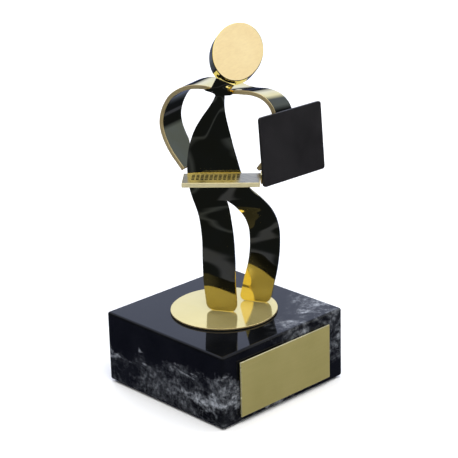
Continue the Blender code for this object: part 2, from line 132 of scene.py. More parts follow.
# ---------------------------------------------------------------- materials
def mirror_brass(name, dull=0.0):
    """Hand-polished strip: a mirror with a slight hand-bent ripple and fine wiping marks."""
    material, n, shader, place = new_material(name, 1.0)
    cloud = n.noise(place, 90.0, 3.0)
    color = n.ramp(cloud, [(0.3, (0.94, 0.77, 0.26)), (0.7, (0.98, 0.83, 0.32))])
    wipe = n.noise(stretched(n, place, (0.3, 0.2, 0.8), (260.0, 260.0, 2600.0)), 1.0, 3.0, 0.6)
    smear = n.noise(place, 45.0, 4.0, 0.6)
    rough = n.math("ADD", n.spread(wipe, 0.35, 0.75, 0.0, 0.03),
                   n.spread(smear, 0.35, 0.75, 0.025 + dull, 0.06 + dull))
    ripple = n.noise(place, 38.0, 1.5, 0.4)
    normal = n.bump(ripple, 0.00006)
    normal = n.bump(wipe, 0.0000008, 0.6, normal)
    wire(n, shader, color, rough, normal)
    return material


def satin_brass(name, low, high, grain_turn, grain, rough_low, rough_high, depth, metal):
    """Satin brass with a directional grain."""
    material, n, shader, place = new_material(name, metal)
    turned = stretched(n, place, grain_turn, grain)
    lines = n.noise(turned, 1.0, 5.0, 0.65)
    cloud = n.noise(place, 70.0, 4.0, 0.55)
    both = n.math("MULTIPLY_ADD", lines, 0.5, n.math("MULTIPLY", cloud, 0.5))
    color = n.ramp(both, [(0.32, low), (0.68, high)])
    rough = n.spread(both, 0.3, 0.7, rough_low, rough_high)
    wire(n, shader, color, rough, n.bump(lines, depth, 0.8))
    return material


def black_lacquer():
    """Matte stoved lacquer with a fine orange-peel and a few pale dust nibs."""
    material, n, shader, place = new_material("black_lacquer_fine", 0.0)
    peel = n.noise(place, 900.0, 3.0, 0.55)
    cloud = n.noise(place, 55.0, 4.0, 0.6)
    nibs = n.math("GREATER_THAN", n.noise(place, 1500.0, 1.0), 0.78)
    base = n.ramp(cloud, [(0.3, (0.009, 0.0082, 0.0085)), (0.7, (0.015, 0.0135, 0.0145))])
    color = n.mix(n.math("MULTIPLY", nibs, 0.25), base, (0.12, 0.12, 0.13))
    wire(n, shader, color, n.spread(cloud, 0.3, 0.7, 0.42, 0.55), n.bump(peel, 0.00002, 0.7))
    return material


def marble():
    """Polished black marble: grey-white veining in two slanting beds, fine flecks between."""
    material, n, shader, place = new_material("marble_fine", 0.0, 1.52)
    shader.inputs["Specular IOR Level"].default_value = 0.18
    axes = n.add("ShaderNodeSeparateXYZ", Vector=place).outputs
    wander = n.noise(place, 42.0, 5.0, 0.6)
    ragged = n.noise(place, 170.0, 5.0, 0.65)
    wander = n.math("ADD", n.math("MULTIPLY", n.math("SUBTRACT", wander, 0.5), 0.027),
                    n.math("MULTIPLY", n.math("SUBTRACT", ragged, 0.5), 0.009))

    def reach_of(x, y, z, start):
        """How far a point lies past a slanting plane that wanders a little."""
        reach = n.math("MULTIPLY_ADD", axes[0], x,
                       n.math("MULTIPLY_ADD", axes[1], y, n.math("MULTIPLY", axes[2], z)))
        return n.math("ADD", n.math("SUBTRACT", reach, start), wander)

    lower_reach = reach_of(-0.55, -0.083, -1.0, -0.0005)
    upper_reach = reach_of(0.536, -0.845, 1.0, 0.0712)
    lower = n.spread(lower_reach, 0.0, 0.002, 0.0, 1.0)
    upper = n.spread(upper_reach, -0.001, 0.006, 0.0, 1.0)
    beds = n.math("MAXIMUM", n.math("MULTIPLY", lower, 0.50), upper)
    cloud = n.noise(place, 105.0, 8.0, 0.68, 0.6)
    fine = n.noise(place, 420.0, 8.0, 0.7, 0.3)
    streak = n.noise(stretched(n, place, (0.12, 0.25, 0.2), (60.0, 60.0, 210.0)), 1.0, 7.0, 0.66,
                     1.1)
    patches = n.spread(n.noise(place, 46.0, 4.0, 0.6, 0.9), 0.40, 0.62, 0.07, 1.0)
    grain = n.math("MULTIPLY_ADD", cloud, 0.42,
                   n.math("MULTIPLY_ADD", fine, 0.23, n.math("MULTIPLY", streak, 0.35)))
    vein = n.math("POWER", n.spread(grain, 0.43, 0.64, 0.0, 1.0), 1.35)
    vein = n.math("MULTIPLY", n.math("MULTIPLY", vein, beds), patches)
    wisp_zone = n.math("MULTIPLY", lower, n.spread(lower_reach, 0.0015, 0.006, 1.0, 0.0))
    wisps = n.math("MULTIPLY", wisp_zone, n.spread(streak, 0.52, 0.66, 0.0, 0.9))
    vein = n.math("MAXIMUM", vein, wisps)
    seam = n.math("ABSOLUTE", reach_of(-0.15, -0.10, -1.0, -0.0032))
    seam = n.math("MULTIPLY", n.spread(seam, 0.0006, 0.0040, 1.0, 0.0),
                  n.spread(axes[1], -0.022, 0.006, 1.0, 0.0))
    seam = n.math("MULTIPLY", n.math("MULTIPLY", seam, lower),
                  n.spread(grain, 0.42, 0.56, 0.0, 0.8))
    vein = n.math("MAXIMUM", vein, seam)
    flecks = n.math("MULTIPLY", n.spread(n.noise(place, 210.0, 6.0, 0.75), 0.70, 0.78, 0.0, 1.0),
                    0.12)
    amount = n.math("MAXIMUM", vein, flecks)
    ground = n.ramp(n.noise(place, 60.0, 4.0), [(0.3, (0.0028, 0.003, 0.0035)),
                                               (0.7, (0.006, 0.0064, 0.0078))])
    pale = n.ramp(fine, [(0.35, (0.08, 0.085, 0.10)), (0.62, (0.50, 0.53, 0.57))])
    color = n.mix(amount, ground, pale)
    rough = n.spread(amount, 0.0, 1.0, 0.045, 0.11)
    pits = n.math("MULTIPLY", n.spread(n.noise(place, 1400.0, 2.0), 0.68, 0.8, 0.0, 1.0), -1.0)
    wire(n, shader, color, rough, n.bump(pits, 0.00002, 0.5))
    return material


def felt():
    """Dense black wool felt: short tangled fibres, a little lint."""
    material, n, shader, place = new_material("felt_fine", 0.0)
    shader.inputs["Sheen Weight"].default_value = 0.35
    shader.inputs["Sheen Roughness"].default_value = 0.5
    fibre = n.noise(place, 1800.0, 6.0, 0.75, 1.5)
    mat = n.noise(place, 260.0, 4.0, 0.6)
    color = n.ramp(fibre, [(0.35, (0.004, 0.004, 0.0045)), (0.75, (0.03, 0.03, 0.032))])
    wire(n, shader, color, n.spread(mat, 0.3, 0.7, 0.88, 1.0), n.bump(fibre, 0.00018, 0.9))
    return material


def zinc_steel():
    """Bright zinc plate with fine turning marks."""
    material, n, shader, place = new_material("zinc_steel_fine", 1.0)
    turning = n.noise(stretched(n, place, (0, 0, 0), (200.0, 200.0, 2600.0)), 1.0, 3.0)
    cloud = n.noise(place, 300.0, 3.0)
    color = n.ramp(cloud, [(0.3, (0.52, 0.52, 0.55)), (0.7, (0.66, 0.67, 0.7))])
    wire(n, shader, color, n.spread(turning, 0.3, 0.7, 0.22, 0.38), n.bump(turning, 0.00001, 0.6))
    return material


def clear_film():
    """Thin clear double-sided film, slightly cloudy."""
    material, n, shader, place = new_material("film_fine", 0.0)
    cloud = n.noise(place, 700.0, 3.0)
    color = n.ramp(cloud, [(0.3, (0.66, 0.66, 0.6)), (0.7, (0.78, 0.78, 0.74))])
    wire(n, shader, color, n.spread(cloud, 0.3, 0.7, 0.45, 0.65), n.bump(cloud, 0.00002, 0.5))
    return material


def dark_enamel(name, base, rough):
    """Glossy dark infill: key enamel and the screen."""
    material, n, shader, place = new_material(name, 0.0)
    cloud = n.noise(place, 400.0, 3.0)
    color = n.ramp(cloud, [(0.3, base), (0.7, tuple(1.6 * c for c in base))])
    wire(n, shader, color, n.spread(cloud, 0.3, 0.7, rough, rough + 0.08),
         n.bump(cloud, 0.000008, 0.5))
    return material


# ---------------------------------------------------------------- mesh helpers
def place_object(name, mesh, materials, smooth_angle=35.0):
    obj = bpy.data.objects.new(name, mesh)
    bpy.context.scene.collection.objects.link(obj)
    mesh.shade_smooth()
    mesh.set_sharp_from_angle(angle=math.radians(smooth_angle))
    for material in materials:
        mesh.materials.append(material)
    return obj


def finished(obj, nodes):
    """Bakes the piece's place into its mesh, then puts it in place of its CAD nodes, if any."""
    obj.data.transform(obj.matrix_world)
    obj.matrix_world = Matrix.Identity(4)
    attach(obj, "root")
    if nodes:
        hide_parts(*nodes)


def to_mesh(name, shape):
    mesh = bpy.data.meshes.new(name)
    shape.to_mesh(mesh)
    shape.free()
    return mesh


def box_shape(low, high):
    shape = bmesh.new()
    bmesh.ops.create_cube(shape, size=1.0)
    size = Vector(high) - Vector(low)
    bmesh.ops.scale(shape, vec=size, verts=shape.verts)
    bmesh.ops.translate(shape, vec=(Vector(low) + Vector(high)) / 2, verts=shape.verts)
    return shape


def add_bevel(obj, width, segments=3, angle=40.0):
    bevel = obj.modifiers.new("edges", "BEVEL")
    bevel.width = width
    bevel.segments = segments
    bevel.limit_method = "ANGLE"
    bevel.angle_limit = math.radians(angle)
    return bevel


def add_weighted_normals(obj):
    weighted = obj.modifiers.new("normals", "WEIGHTED_NORMAL")
    weighted.keep_sharp = True
    weighted.weight = 60


def cut_with(obj, name, mesh, matrix):
    cutter = bpy.data.objects.new(name, mesh)
    bpy.context.scene.collection.objects.link(cutter)
    cutter.matrix_world = matrix
    boolean = obj.modifiers.new(name, "BOOLEAN")
    boolean.operation = "DIFFERENCE"
    boolean.solver = "EXACT"
    boolean.object = cutter
    return cutter


def bake_modifiers(obj, cutters=()):
    """Turns the modified mesh into the piece's own mesh, then drops the cutters."""
    bpy.context.view_layer.update()
    evaluated = obj.evaluated_get(bpy.context.evaluated_depsgraph_get())
    mesh = bpy.data.meshes.new_from_object(evaluated)
    obj.modifiers.clear()
    obj.data = mesh
    for cutter in cutters:
        bpy.data.objects.remove(cutter)


def lathe(name, profile, sides, materials):
    """A turned piece about Z from (radius, height) points running up its outer side."""
    shape = bmesh.new()
    rings = []
    for radius, height in profile:
        if radius == 0:
            rings.append([shape.verts.new((0, 0, height))] * sides)
            continue
        rings.append([shape.verts.new((radius * math.cos(2 * math.pi * k / sides),
                                       radius * math.sin(2 * math.pi * k / sides), height))
                      for k in range(sides)])
    for lower, upper in zip(rings, rings[1:]):
        for k in range(sides):
            corners = [lower[k], lower[(k + 1) % sides], upper[(k + 1) % sides], upper[k]]
            shape.faces.new(list(dict.fromkeys(corners)))
    return place_object(name, to_mesh(name, shape), materials)


# ---------------------------------------------------------------- the figure's own layout
def smooth_curve(knots):
    """A smooth function through (place, value) knots, in millimetres."""
    places = np.array([knot[0] for knot in knots], float)
    values = np.array([knot[1:] for knot in knots], float)
    slopes = np.gradient(values, places, axis=0)

    def value(place):
        place = min(max(place, places[0]), places[-1])
        i = min(int(np.searchsorted(places, place, side="right")) - 1, len(places) - 2)
        span = places[i + 1] - places[i]
        t = (place - places[i]) / span
        start = (1 + 2 * t) * (1 - t) ** 2 * values[i] + t * (1 - t) ** 2 * span * slopes[i]
        end = t * t * (3 - 2 * t) * values[i + 1] + t * t * (t - 1) * span * slopes[i + 1]
        result = start + end
        return result if len(result) > 1 else float(result[0])

    return value


def ease(t):
    """A smooth step from 0 to 1."""
    t = min(max(t, 0.0), 1.0)
    return t * t * (3 - 2 * t)


def sideways(angle):
    """The level direction along a sheet that is turned by an angle in degrees."""
    return Vector((math.cos(math.radians(angle)), math.sin(math.radians(angle)), 0.0))


def forwards(angle):
    """The level direction out of the front of that sheet."""
    return Vector((math.sin(math.radians(angle)), -math.cos(math.radians(angle)), 0.0))


# Values with MM are metres in the row frame. Plain lengths are millimetres, measured along, out of
# and up the figure's own sheets from FIGURE_FOOT, and angles are degrees.
GAP = 0.3 * MM   # nominal clearance; curved pieces come nearer or stay further off
PLINTH_BEVEL, FELT_BEVEL, NAMEPLATE_BEVEL = 1.4 * MM, 0.3 * MM, 0.22 * MM
STUD_HOLE_RADIUS, COUNTERBORE_RADIUS, COUNTERBORE_DEPTH = 3.0 * MM, 8.0 * MM, 12.0 * MM
DISC_EDGE_ROUND = 0.25 * MM
DISC_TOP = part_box("brass_disc")[1].z
SHEET_THICKNESS, STRIP_BEVEL = 2.0 * MM, 0.28 * MM
FIGURE_FOOT = Vector((7.3, -4.5, 0.0)) * MM
BODY_ANGLE, FOOT_ANGLE, SHOULDER_ANGLE = -50.0, -62.0, -70.0
FOOT_CORNER, CROTCH_HEIGHT, CROTCH_SIDE, NECK_HEIGHT, NECK_SIDE = 3.6, 61.0, -5.0, 116.3, -8.1
NECK_FLARE_START, NECK_FLARE_END = 0.5, 3.7   # above NECK_HEIGHT
FOOT_TWIST_TOP, SHOULDER_TWIST_START, SHOULDER_TWIST_LENGTH = 32.0, 94.0, 18.0
CREASE_SOFTNESS = 0.12
HOOP_WIDTH, HOOP_THICKNESS = 21.49 * MM, 2.2 * MM   # a hair narrow: the finer outline bulges
HOOP_BACK_DROP, HOOP_SIDE_DROP = 1.0 * MM, 3.0 * MM
HOOP_TAPER_LENGTH, HOOP_DROP_START, HOOP_DROP_LENGTH = 16.0, 3.0, 14.0
HEAD_CENTRE = Vector((16.5, 1.6, 138.6)) * MM + Vector((0, 0, DISC_TOP))
HEAD_HALF_LENGTH, HEAD_HALF_WIDTH, HEAD_THICKNESS = 16.4 * MM, 13.3 * MM, 8.0 * MM
HEAD_FACING, HEAD_TILT_UP, HEAD_LEAN, HEAD_BEVEL = -118.0, 31.0, 30.0, 0.4 * MM
SLOT_DEPTH, SLOT_PLAY, NECK_HALF_WIDTH = 5.5 * MM, 0.5 * MM, 4.9 * MM
SLOT_OVERSHOOT = 8.0 * MM   # how far the slot's cutter starts outside the head
LAPTOP_CENTRE = Vector((-6.2, -7.2, 77.0)) * MM + Vector((0, 0, DISC_TOP))
LAPTOP_ANGLE = -47.0
KEYBOARD_LENGTH, KEYBOARD_DEPTH, KEYBOARD_THICKNESS = 40.6 * MM, 16.2 * MM, 2.5 * MM
KEY_ROWS, KEY_COLUMNS = 4, 11
KEY_PITCH_X, KEY_PITCH_Y, KEY_SIZE, KEY_DEPTH = 2.35 * MM, 2.3 * MM, 1.6 * MM, 0.5 * MM
KEYS_OFFSET_X, KEYS_OFFSET_Y = -3.0 * MM, 1.4 * MM
ENAMEL_MIDDLE, ENAMEL_HEIGHT, ENAMEL_PLAY = -0.36 * MM, 0.22 * MM, 0.1 * MM
KEYBOARD_BEVEL, ENAMEL_BEVEL = 0.3 * MM, 0.05 * MM
LID_WIDTH, LID_HEIGHT, LID_THICKNESS = 43.6 * MM, 37.0 * MM, 1.5 * MM
LID_CORNER_ROUND, LID_BEVEL = 1.6 * MM, 0.25 * MM
LID_CORNER = Vector((5.0, -26.9, 73.4)) * MM + Vector((0, 0, DISC_TOP))
LID_ANGLE, LID_LEAN, LID_ROLL = -3.0, -4.0, -0.5
SCREEN_MARGIN, SCREEN_DEPTH, SCREEN_PLAY = 2.6 * MM, 0.4 * MM, 0.2 * MM
SCREEN_FLOOR_GAP, SCREEN_SET_BACK = 0.02 * MM, 0.12 * MM
SCREEN_CORNER_ROUND, SCREEN_BEVEL = 0.3 * MM, 0.06 * MM

OUTER_RIGHT = smooth_curve([(0, -17.0), (8, -17.6), (16, -18.1), (30, -18.2), (43, -18.3),
                            (55, -20.2), (61, -22.2), (68, -24.4), (77, -25.6), (85, -25.2),
                            (92, -23.7), (98, -21.4), (104, -17.8), (110, -13.6), (114, -11.2),
                            (116.3, -10.4)])
OUTER_LEFT = smooth_curve([(0, 16.5), (9, 18.3), (20, 20.6), (34, 22.1), (43, 21.8),
                           (53, 18.7), (61, 13.2), (68, 6.6), (77, 2.6), (83, 0.9),
                           (92, -1.7), (103, -4.2), (112, -5.5), (116.3, -5.8)])
INNER_RIGHT = smooth_curve([(0, -0.4), (6, -0.4), (14, -0.8), (32, -0.8), (44, -1.5),
                            (55, -3.5), (61, -5.0)])
INNER_LEFT = smooth_curve([(0, -1.0), (6, 0.4), (14, 2.3), (25, 5.0), (36, 5.9), (45, 5.2),
                           (54, 1.6), (58.5, -1.9), (61, -5.0)])
CREASE = smooth_curve([(61, -5.0), (68, -10.5), (77, -14.5), (85, -15.6), (95, -15.0),
                       (104, -11.0), (112, -8.2), (116.3, -8.1)])
TORSO_FORWARD = smooth_curve([(61, 2.4), (68, 2.4), (75, 2.1), (88, -0.2), (102, -3.0),
                              (116.3, -5.0)])
RIGHT_LEG_FORWARD = smooth_curve([(0, 7.0), (10, 7.5), (20, 8.2), (30, 8.6), (40, 8.2),
                                  (45, 7.4), (51, 5.4), (56, 3.4), (59.5, 2.5), (61, 2.4)])
LEFT_LEG_FORWARD = smooth_curve([(0, -7.0), (10, -6.6), (20, -6.1), (28, -5.9), (38, -5.5),
                                 (43, -4.6), (48, -2.8), (53, -0.4), (57.5, 1.7), (60, 2.3),
                                 (61, 2.4)])
HIP_TURN = smooth_curve([(0, 0.0), (40, 0.0), (61, 0.2), (76, 0.0), (116.3, 0.0)])
CREASE_PROUD = smooth_curve([(61, 0.0), (74, 0.6), (95, 2.4), (108, 1.6), (116.3, 0.0)])
SHOULDER_FLARE = smooth_curve([(0.5, 2.6, 3.6), (1.0, 3.4, 6.6), (1.5, 5.0, 7.2),
                               (1.9, 7.4, 7.4), (3.0, 7.4, 7.4), (3.3, 6.0, 6.0),
                               (3.7, 5.1, 5.1)])
HOOP_EDGE = [(-18.0, 13.2, 76.4), (-22.4, 10.8, 79.6), (-27.4, 8.2, 83.4), (-31.9, 5.6, 88.2),
             (-34.9, 3.8, 93.2), (-36.3, 2.4, 98.2), (-36.1, 1.2, 102.8), (-34.4, 0.5, 107.8),
             (-31.4, 0.1, 112.5), (-26.9, 0.0, 116.2), (-19.6, 0.0, 119.3), (-11.7, 0.0, 120.3),
             (-4.0, 0.0, 119.6), (3.0, 0.0, 119.4), (11.6, 0.0, 119.8), (18.6, 0.0, 119.7),
             (24.4, 0.0, 117.9), (28.8, 0.0, 114.0), (31.2, 0.0, 108.4), (31.8, 0.0, 101.4),
             (31.0, 0.3, 94.6), (28.8, 0.8, 88.2), (25.4, 1.4, 82.4), (21.8, 2.0, 77.6)]


def sheet_angle(height):
    """The way the sheet faces at a height: it is twisted at the feet and at the shoulders."""
    down = ease((FOOT_TWIST_TOP - height) / FOOT_TWIST_TOP)
    up = ease((height - SHOULDER_TWIST_START) / SHOULDER_TWIST_LENGTH)
    return BODY_ANGLE + (FOOT_ANGLE - BODY_ANGLE) * down + (SHOULDER_ANGLE - BODY_ANGLE) * up


def sheet_point(side, forward, height, centre):
    """A point of the body sheet, which is turned about its own centre line."""
    along = sideways(BODY_ANGLE) * centre + sideways(sheet_angle(height)) * (side - centre)
    forward -= HIP_TURN(height) * (side - CROTCH_SIDE)
    point = FIGURE_FOOT + (along + forwards(BODY_ANGLE) * forward) * MM
    point.z = DISC_TOP + GAP + height * MM
    return point


def leg_row(outer, inner, forward, height, steps):
    """Points across one leg, narrower at the foot, whose corners are round."""
    low, high = sorted((outer(height), inner(height)))
    if height < FOOT_CORNER:
        trim = FOOT_CORNER - math.sqrt(FOOT_CORNER ** 2 - (FOOT_CORNER - height) ** 2)
        low, high = low + trim, high - trim * 0.8
    centre = (low + high) / 2
    return [sheet_point(low + (high - low) * i / steps, forward(height), height, centre)
            for i in range(steps + 1)]


def torso_row(height, steps):
    """Points across the torso, standing proud along the crease."""
    low, mid, high = OUTER_RIGHT(height), CREASE(height), OUTER_LEFT(height)
    centre = (low + high) / 2
    row = []
    for i in range(2 * steps + 1):
        t = i / steps
        side = low + (mid - low) * t if t <= 1 else mid + (high - mid) * (t - 1)
        fold = 1 - ((math.hypot(t - 1, CREASE_SOFTNESS) - CREASE_SOFTNESS)
                    / (math.hypot(1, CREASE_SOFTNESS) - CREASE_SOFTNESS))
        forward = TORSO_FORWARD(height) + CREASE_PROUD(height) * fold
        row.append(sheet_point(side, forward, height, centre))
    return row


def head_axes():
    """The head's own axes: across the oval, along the oval, and out of its face."""
    tilt, lean = math.radians(HEAD_TILT_UP), math.radians(HEAD_LEAN)
    normal = sideways(HEAD_FACING) * math.cos(tilt) + Vector((0, 0, math.sin(tilt)))
    level = Vector((0, 0, 1)).cross(normal).normalized()
    rising = normal.cross(level)
    across = level * math.cos(lean) - rising * math.sin(lean)
    along = rising * math.cos(lean) + level * math.sin(lean)
    return across, along, normal


def neck_base():
    return sheet_point(NECK_SIDE, TORSO_FORWARD(NECK_HEIGHT), NECK_HEIGHT, NECK_SIDE)


def neck_rows(steps):
    """Above the narrow of the neck: out over the arm hoop, in again and up into the head."""
    base, across = neck_base(), sideways(SHOULDER_ANGLE)
    rows = []
    for rise in np.linspace(NECK_FLARE_START, NECK_FLARE_END, 17):
        right, left = SHOULDER_FLARE(rise)
        middle = base + Vector((0, 0, rise * MM))
        rows.append([middle + across * MM * (-right + (right + left) * i / (2 * steps))
                     for i in range(2 * steps + 1)])
    head_side, head_up, normal = head_axes()
    entry = HEAD_CENTRE - normal * HEAD_THICKNESS / 2 - head_up * HEAD_HALF_LENGTH
    start = base + Vector((0, 0, NECK_FLARE_END * MM))
    for t in np.linspace(0.1, 1.0, 10):
        side = across.lerp(head_side, ease(t)).normalized()
        rows.append([start.lerp(entry, t) + side * NECK_HALF_WIDTH * (i / steps - 1)
                     for i in range(2 * steps + 1)])
    tip = entry + head_up * (SLOT_DEPTH - 2 * GAP)
    rows.append([tip + head_side * NECK_HALF_WIDTH * (i / steps - 1)
                 for i in range(2 * steps + 1)])
    return rows


def row_faces(marks):
    """Quads between following rows of equal length; marks holds (first index, length)."""
    faces = []
    for (first, length), (second, _) in zip(marks, marks[1:]):
        for i in range(length - 1):
            faces.append((first + i, first + i + 1, second + i + 1, second + i))
    return faces


def strip_piece(name, rows, faces, thickness, offset, materials):
    """A bent sheet: the first material on its faces, the second on its rounded edges."""
    mesh = bpy.data.meshes.new(name)
    mesh.from_pydata([tuple(p) for row in rows for p in row], [], faces)
    obj = place_object(name, mesh, materials, 50.0)
    solid = obj.modifiers.new("thickness", "SOLIDIFY")
    solid.thickness = thickness
    solid.offset = offset
    solid.use_even_offset = True
    solid.material_offset_rim = 1
    edges = add_bevel(obj, STRIP_BEVEL, angle=50.0)
    edges.material = 1
    add_weighted_normals(obj)
    bake_modifiers(obj)
    return obj


def build_body(materials):
    """Torso, legs and neck tab as one sheet. Both legs end on the torso's first row."""
    steps = 8
    leg_heights = list(FOOT_CORNER * (1 - np.cos(np.linspace(0, math.pi / 2, 9)[:-1])))
    leg_heights += list(np.linspace(FOOT_CORNER, CROTCH_HEIGHT, 90)[:-1])
    rows, faces = [], []

    def add_rows(new_rows):
        marks = []
        for row in new_rows:
            marks.append((sum(len(r) for r in rows), len(row)))
            rows.append(row)
        return marks

    right = add_rows([leg_row(OUTER_RIGHT, INNER_RIGHT, RIGHT_LEG_FORWARD, h, steps)
                      for h in leg_heights])
    left = add_rows([leg_row(INNER_LEFT, OUTER_LEFT, LEFT_LEG_FORWARD, h, steps)
                     for h in leg_heights])
    trunk = add_rows([torso_row(h, steps) for h in np.linspace(CROTCH_HEIGHT, NECK_HEIGHT, 80)]
                     + neck_rows(steps))
    crotch = trunk[0][0]
    faces += row_faces(right + [(crotch, steps + 1)])
    faces += row_faces(left + [(crotch + steps, steps + 1)])
    faces += row_faces(trunk)
    body = strip_piece("figure_body", rows, faces, SHEET_THICKNESS, 0.0, materials)
    finished(body, ["body_sheet"])


def build_hoop(materials):
    """Both arms as one strip across the back of the neck, narrower towards the hands."""
    steps_along, steps_across = 260, 8
    lengths = [0.0]
    for a, b in zip(HOOP_EDGE, HOOP_EDGE[1:]):
        lengths.append(lengths[-1] + math.dist(a, b))
    edge = smooth_curve([(d, *p) for d, p in zip(lengths, HOOP_EDGE)])
    base, across, ahead = neck_base(), sideways(SHOULDER_ANGLE), forwards(SHOULDER_ANGLE)
    behind_sheet = SHEET_THICKNESS / 2 + 2 * GAP
    rows = []
    for k in range(steps_along + 1):
        travel = lengths[-1] * k / steps_along
        side, forward, height = edge(travel)
        front = base + across * side * MM + ahead * (forward * MM - behind_sheet)
        front.z = DISC_TOP + GAP + height * MM
        from_end = min(travel, lengths[-1] - travel)
        width = HOOP_WIDTH * (0.5 + 0.5 * ease(from_end / HOOP_TAPER_LENGTH))
        drop = (HOOP_BACK_DROP
                + HOOP_SIDE_DROP * ease((side + HOOP_DROP_START) / HOOP_DROP_LENGTH))
        back = front - ahead * width - Vector((0, 0, drop * width / HOOP_WIDTH))
        rows.append([front.lerp(back, i / steps_across) for i in range(steps_across + 1)])
    marks = [(k * (steps_across + 1), steps_across + 1) for k in range(len(rows))]
    hoop = strip_piece("figure_arms", rows, row_faces(marks), HOOP_THICKNESS, 1.0, materials)
    finished(hoop, ["arm_hoop"])


def build_head(face, side_material):
    """The oval head, slotted from below for the neck tab."""
    across, along, normal = head_axes()
    turn = Matrix((across, along, normal)).transposed().to_4x4()
    shape = bmesh.new()
    bmesh.ops.create_cone(shape, cap_ends=True, segments=160, radius1=1.0, radius2=1.0,
                          depth=HEAD_THICKNESS)
    bmesh.ops.scale(shape, vec=(HEAD_HALF_WIDTH, HEAD_HALF_LENGTH, 1.0), verts=shape.verts)
    head = place_object("figure_head", to_mesh("figure_head", shape), [side_material, face])
    for polygon in head.data.polygons:
        polygon.material_index = 1 if abs(polygon.normal.z) > 0.5 else 0
    middle = HEAD_CENTRE - normal * HEAD_THICKNESS / 2
    head.matrix_world = Matrix.Translation(middle) @ turn
    edges = add_bevel(head, HEAD_BEVEL)
    edges.material = 0
    slot_size = Vector((2 * (NECK_HALF_WIDTH + SLOT_PLAY), SLOT_DEPTH + SLOT_OVERSHOOT,
                        SHEET_THICKNESS + 2 * SLOT_PLAY))
    lowest = middle - along * (HEAD_HALF_LENGTH + SLOT_OVERSHOOT / 2 - SLOT_DEPTH / 2)
    slot_mesh = to_mesh("head_slot", box_shape(-slot_size / 2, slot_size / 2))
    cutter = cut_with(head, "head_slot", slot_mesh, Matrix.Translation(lowest) @ turn)
    bake_modifiers(head, [cutter])
    add_weighted_normals(head)
    finished(head, ["head_slug"])


def build_keyboard(brass, edge_brass, enamel):
    """The keyboard bar with engraved keys, and the enamel that fills them."""
    along, ahead = sideways(LAPTOP_ANGLE), forwards(LAPTOP_ANGLE)
    turn = Matrix((along, -ahead, Vector((0, 0, 1)))).transposed().to_4x4()
    half = Vector((KEYBOARD_LENGTH, KEYBOARD_DEPTH, 0)) / 2
    plate = place_object("laptop_keyboard", to_mesh("laptop_keyboard", box_shape(
        -half - Vector((0, 0, KEYBOARD_THICKNESS)), half)), [brass, edge_brass])
    for polygon in plate.data.polygons:
        polygon.material_index = 0 if abs(polygon.normal.z) > 0.5 else 1
    plate.matrix_world = Matrix.Translation(LAPTOP_CENTRE) @ turn
    edges = add_bevel(plate, KEYBOARD_BEVEL)
    edges.material = 1
    pockets, fills = bmesh.new(), bmesh.new()
    for row in range(KEY_ROWS):
        for column in range(KEY_COLUMNS):
            x = KEYS_OFFSET_X + (column - (KEY_COLUMNS - 1) / 2) * KEY_PITCH_X
            y = KEYS_OFFSET_Y + (row - (KEY_ROWS - 1) / 2) * KEY_PITCH_Y
            bmesh.ops.create_cube(pockets, size=1.0, matrix=Matrix.Translation((x, y, 0))
                                  @ Matrix.Diagonal((KEY_SIZE, KEY_SIZE, 2 * KEY_DEPTH, 1)))
            fill = Matrix.Translation((x, y, ENAMEL_MIDDLE)) @ Matrix.Diagonal(
                (KEY_SIZE - ENAMEL_PLAY, KEY_SIZE - ENAMEL_PLAY, ENAMEL_HEIGHT, 1))
            bmesh.ops.create_cube(fills, size=1.0, matrix=fill)
    cutter = cut_with(plate, "key_pockets", to_mesh("key_pockets", pockets),
                      Matrix.Translation(LAPTOP_CENTRE) @ turn)
    bake_modifiers(plate, [cutter])
    finished(plate, ["keyboard_plate"])
    keys = place_object("key_enamel", to_mesh("key_enamel", fills), [enamel])
    keys.matrix_world = Matrix.Translation(LAPTOP_CENTRE) @ turn
    add_bevel(keys, ENAMEL_BEVEL, 2)
    finished(keys, [])


def lid_matrix():
    """The lid's place: upright on its lower corner, then leaned and rolled."""
    along, ahead = sideways(LID_ANGLE), forwards(LID_ANGLE)
    upright = Matrix((along, -ahead, Vector((0, 0, 1)))).transposed()
    lean = Matrix.Rotation(math.radians(LID_LEAN), 3, "X")
    roll = Matrix.Rotation(math.radians(LID_ROLL), 3, "Y")
    turn = upright @ lean @ roll
    middle = LID_CORNER + turn @ Vector((LID_WIDTH / 2, 0, LID_HEIGHT / 2))
    return Matrix.Translation(middle) @ turn.to_4x4()


def rounded_panel(name, width, height, low_y, high_y, radius, materials, bevel):
    """An upright panel with round corners, between two places along its thickness."""
    shape = bmesh.new()
    ring = []
    steps = 10
    for corner_x, corner_z, start in ((1, 1, 0), (-1, 1, 90), (-1, -1, 180), (1, -1, 270)):
        for k in range(steps + 1):
            angle = math.radians(start + 90 * k / steps)
            ring.append((corner_x * (width / 2 - radius) + radius * math.cos(angle),
                         corner_z * (height / 2 - radius) + radius * math.sin(angle)))
    front = [shape.verts.new((x, low_y, z)) for x, z in ring]
    back = [shape.verts.new((x, high_y, z)) for x, z in ring]
    shape.faces.new(front)
    shape.faces.new(back[::-1])
    for k in range(len(ring)):
        nxt = (k + 1) % len(ring)
        shape.faces.new((front[nxt], front[k], back[k], back[nxt]))
    bmesh.ops.recalc_face_normals(shape, faces=shape.faces)
    panel = place_object(name, to_mesh(name, shape), materials)
    panel.matrix_world = lid_matrix()
    add_bevel(panel, bevel)
    return panel


